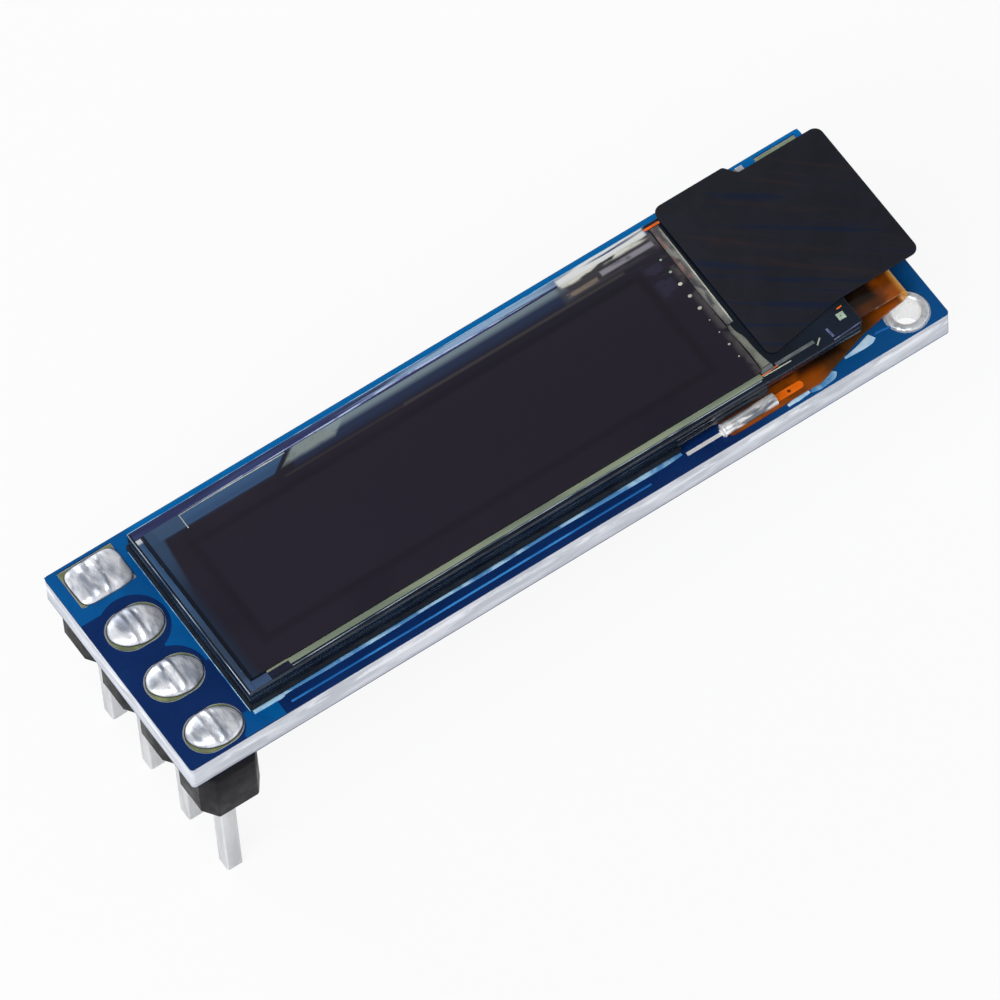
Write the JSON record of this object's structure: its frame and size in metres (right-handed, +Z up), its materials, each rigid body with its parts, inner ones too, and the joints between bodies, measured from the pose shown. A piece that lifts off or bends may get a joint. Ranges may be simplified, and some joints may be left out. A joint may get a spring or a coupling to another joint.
{
  "type": "small OLED display module",
  "caption": "Small wide OLED display on a narrow blue circuit board, with a folded flex cable under black tape, a pin header along one end and a corner hole.",
  "frame": {"origin": "middle of the pin row, on the plane where the header's housing seats on its socket", "axes": "+X from the pin row along the board to the corner hole, +Y across the board away from the corner hole's side, +Z up out of the display's face"},
  "size_m": [0.0328, 0.0102, 0.0111],
  "materials": {
    "laminate": "sawn glass-fibre laminate, matt",
    "solder_mask": "blue solder mask, glossy",
    "gold_land": "thin gold over copper, satin",
    "pin_metal": "tinned, satin",
    "solder": "solder, bright with dull streaks",
    "header_plastic": "moulded, matt",
    "eyelet_metal": "solder-coated, bright",
    "adhesive": "double-sided foam tape, matt",
    "glass": "polished",
    "seal": "cured glue, matt",
    "light_layer": "thin film, mirror-like",
    "electrode": "thin metal film, satin",
    "polarizer": "dark film, satin",
    "silicon": "bare silicon, polished",
    "flex_film": "amber film, glossy",
    "copper": "coated copper, bright",
    "tape": "black tape, matt",
    "capacitor_body": "fired ceramic, satin",
    "resistor_body": "glazed, glossy",
    "part_end": "tinned, satin",
    "regulator_body": "moulded, matt"
  },
  "bodies": {
    "root": {"board_core": "laminate", "solder_mask_top": "solder_mask", "solder_mask_bottom": "solder_mask", "pin_land_1": "gold_land", "pin_land_2": "gold_land", "pin_land_3": "gold_land", "pin_land_4": "gold_land", "header_pin_1": "pin_metal", "header_pin_2": "pin_metal", "header_pin_3": "pin_metal", "header_pin_4": "pin_metal", "solder_joint_1": "solder", "solder_joint_2": "solder", "solder_joint_3": "solder", "solder_joint_4": "solder", "header_housing": "header_plastic", "corner_eyelet": "eyelet_metal", "adhesive_pad": "adhesive", "cover_glass": "glass", "display_seal": "seal", "light_layer": "light_layer", "electrodes": "electrode", "front_glass": "glass", "polarizer": "polarizer", "driver_chip": "silicon", "flex_cable": "flex_film", "flex_fingers": "copper", "flex_solder": "solder", "finger_lands": "eyelet_metal", "shield_tape": "tape", "small_capacitor": "capacitor_body", "small_capacitor_ends": "part_end", "far_land": "gold_land", "back_lands": "part_end", "capacitors": "capacitor_body", "capacitor_ends": "part_end", "resistors": "resistor_body", "resistor_ends": "part_end", "regulator": "regulator_body", "regulator_legs": "part_end"}
  },
  "joints": []
}
